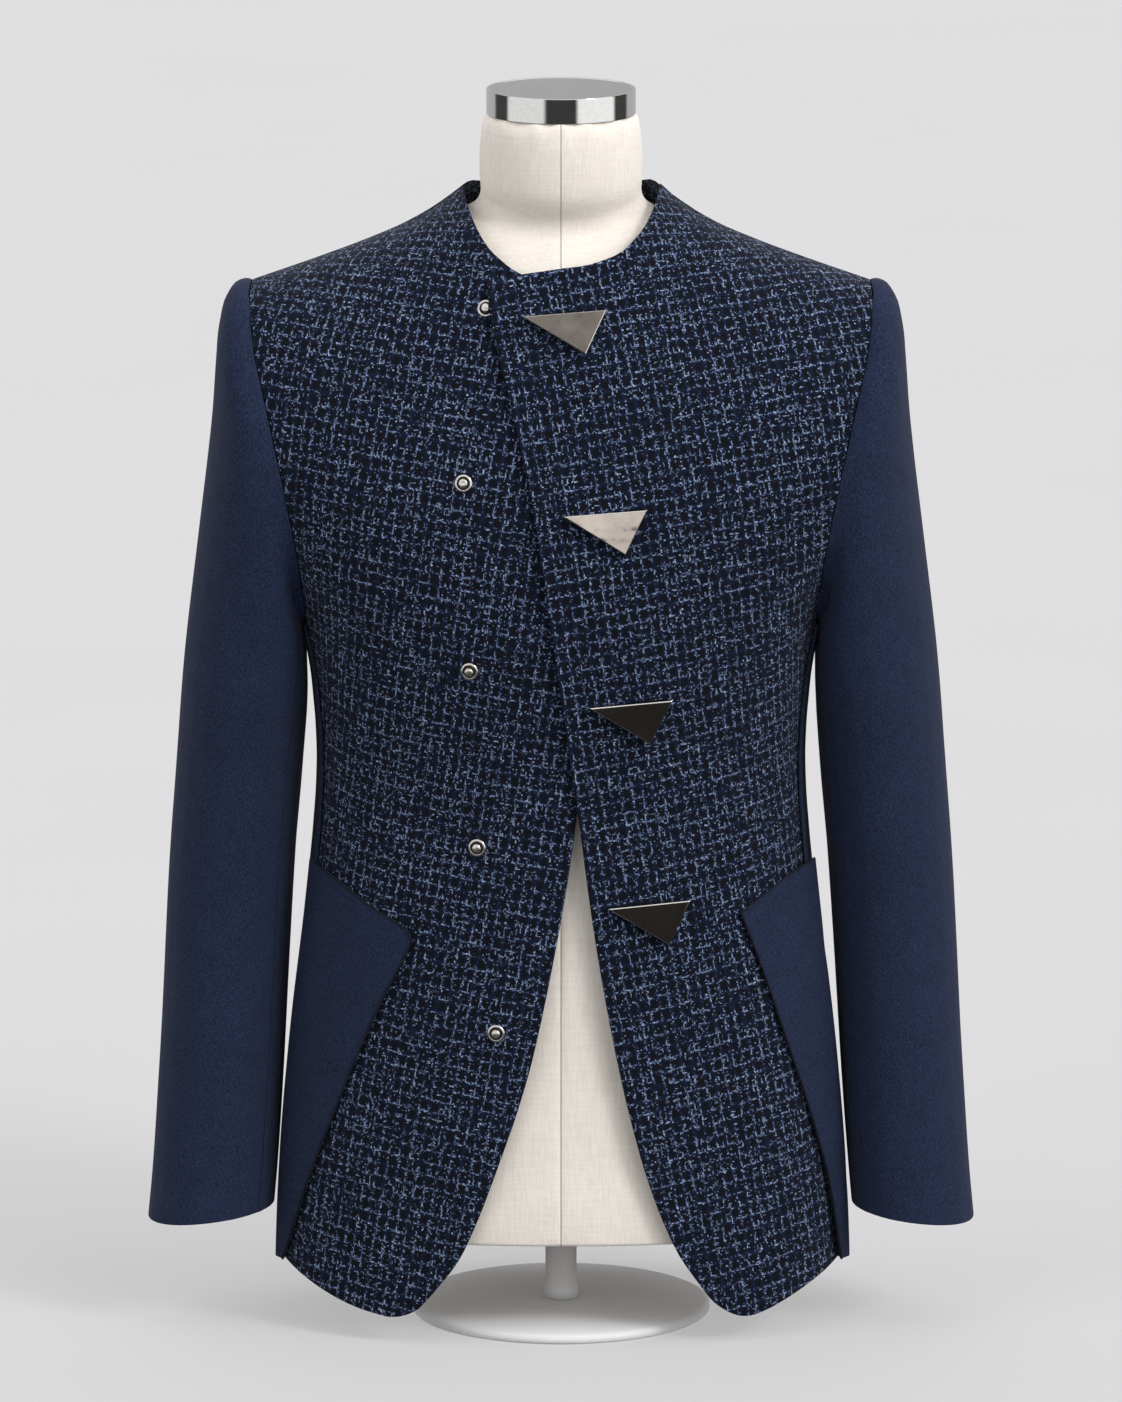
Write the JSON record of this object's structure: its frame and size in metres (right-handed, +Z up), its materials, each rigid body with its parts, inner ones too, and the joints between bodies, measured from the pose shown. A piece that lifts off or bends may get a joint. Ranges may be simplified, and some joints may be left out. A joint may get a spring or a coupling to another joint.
{
  "type": "collarless asymmetric jacket on limbless dress form",
  "caption": "Men's hip-length collarless jacket with slanted overlapping fronts, snap studs and triangular clasps, standing on a limbless linen dress form.",
  "frame": {"origin": "on the floor under the stand's foot, at the middle of the whole object's box", "axes": "+Z up, -Y out of the jacket's front, +X towards the wearer's left"},
  "size_m": [0.5808, 0.2622, 0.8708],
  "materials": {
    "tweed": "broken basket-check wool tweed, near black navy with pale blue flecks",
    "flannel": "plain dark navy wool flannel with a fine melange",
    "linen": "cream plain-weave linen stretched over the form",
    "nickel": "polished warm nickel",
    "gunmetal": "polished gunmetal with bright bevels",
    "chrome": "polished chrome, brushed on the flat faces",
    "enamel": "pale grey satin enamel"
  },
  "bodies": {
    "root": {"right_front": "tweed", "left_front": "tweed", "back": "tweed", "right_side": "flannel", "left_side": "flannel", "right_pocket": "flannel", "left_pocket": "flannel", "right_top_sleeve": "flannel", "right_under_sleeve": "flannel", "left_top_sleeve": "flannel", "left_under_sleeve": "flannel", "snap_1": "nickel", "snap_2": "nickel", "snap_3": "nickel", "snap_4": "nickel", "snap_5": "nickel", "clasp_1": "gunmetal", "clasp_2": "gunmetal", "clasp_3": "gunmetal", "clasp_4": "gunmetal", "form_torso": "linen", "neck_cap": "chrome", "stand_foot": "enamel", "stand_post": "enamel"}
  },
  "joints": []
}
